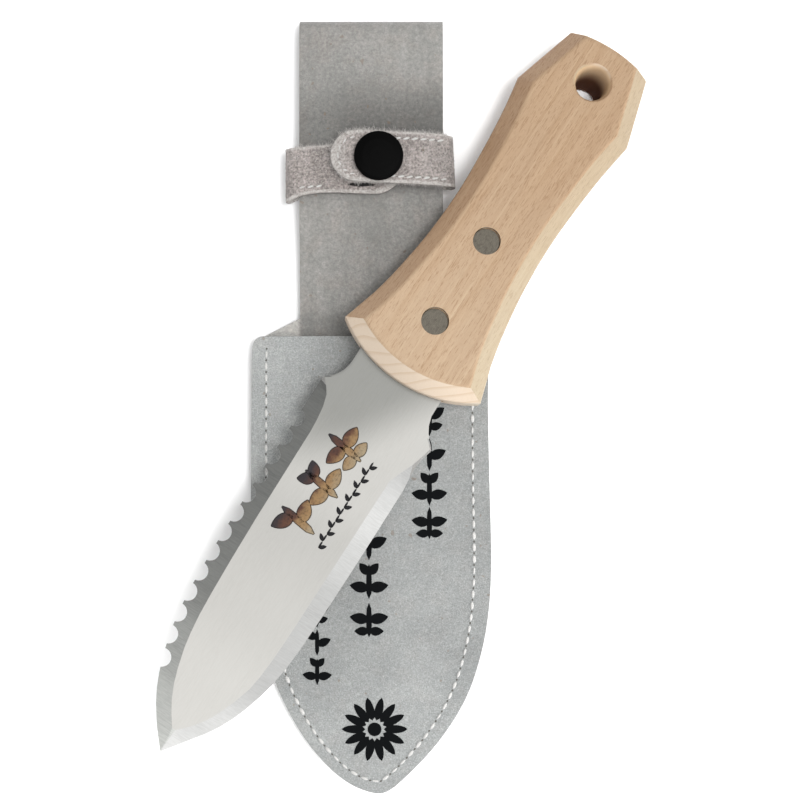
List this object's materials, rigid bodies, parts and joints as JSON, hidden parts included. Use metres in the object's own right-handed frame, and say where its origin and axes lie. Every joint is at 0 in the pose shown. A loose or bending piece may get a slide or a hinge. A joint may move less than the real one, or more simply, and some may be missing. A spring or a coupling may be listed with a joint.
{
  "type": "hori hori knife with sheath",
  "caption": "Digging knife with a serrated steel blade and a faceted wooden handle, lying across its suede belt sheath with a snap strap.",
  "frame": {"origin": "on the flat underside of the sheath, on its centre line at the mouth of the pocket", "axes": "+Y up the sheath from the pocket's tip to the belt loop's fold, +X to the right of the sheath seen from the front, +Z out of the front"},
  "size_m": [0.1831, 0.3013, 0.0397],
  "materials": {
    "sheath_suede": "grey suede",
    "front_suede": "light grey suede",
    "strap_suede": "brownish grey suede, fuzzy",
    "thread": "off-white thread",
    "snap_black": "gloss black enamel",
    "snap_steel": "plated steel",
    "blade_steel": "fine satin brushing",
    "rivet_steel": "dull flush ground steel",
    "beech": "smooth unlacquered beech"
  },
  "bodies": {
    "sheath": {"back_panel": "sheath_suede", "front_panel": "front_suede", "welt": "sheath_suede", "seam_thread": "thread", "belt_loop_thread": "thread", "strap_back": "strap_suede"},
    "strap_right": {"strap_right_arm": "strap_suede", "strap_right_thread": "thread", "snap_cap": "snap_black", "snap_socket": "snap_steel"},
    "strap_left": {"strap_left_arm": "strap_suede", "strap_left_thread": "thread", "snap_stud": "snap_steel", "snap_post": "snap_steel"},
    "knife": {"blade": "blade_steel", "handle": "beech", "front_rivet_tube": "rivet_steel", "front_rivet_pin": "rivet_steel", "rear_rivet_tube": "rivet_steel", "rear_rivet_pin": "rivet_steel"}
  },
  "joints": [
    {"name": "strap_right_swing", "type": "hinge", "parent": "sheath", "child": "strap_right", "pos_m": [0.033, 0.0661, 0.01115], "axis": [0, 1, 0], "range_deg": [0, 46]},
    {"name": "strap_left_swing", "type": "hinge", "parent": "sheath", "child": "strap_left", "pos_m": [-0.033, 0.0615, 0.01115], "axis": [0, 1, 0], "range_deg": [-24, 0]},
    {"name": "knife_lift", "type": "slide", "parent": "sheath", "child": "knife", "axis": [0, 0, 1], "range_m": [0, 0.06]}
  ],
  "couplings": [
    {"joint": "strap_left_swing", "follows": "strap_right_swing", "ratio": -0.5}
  ]
}
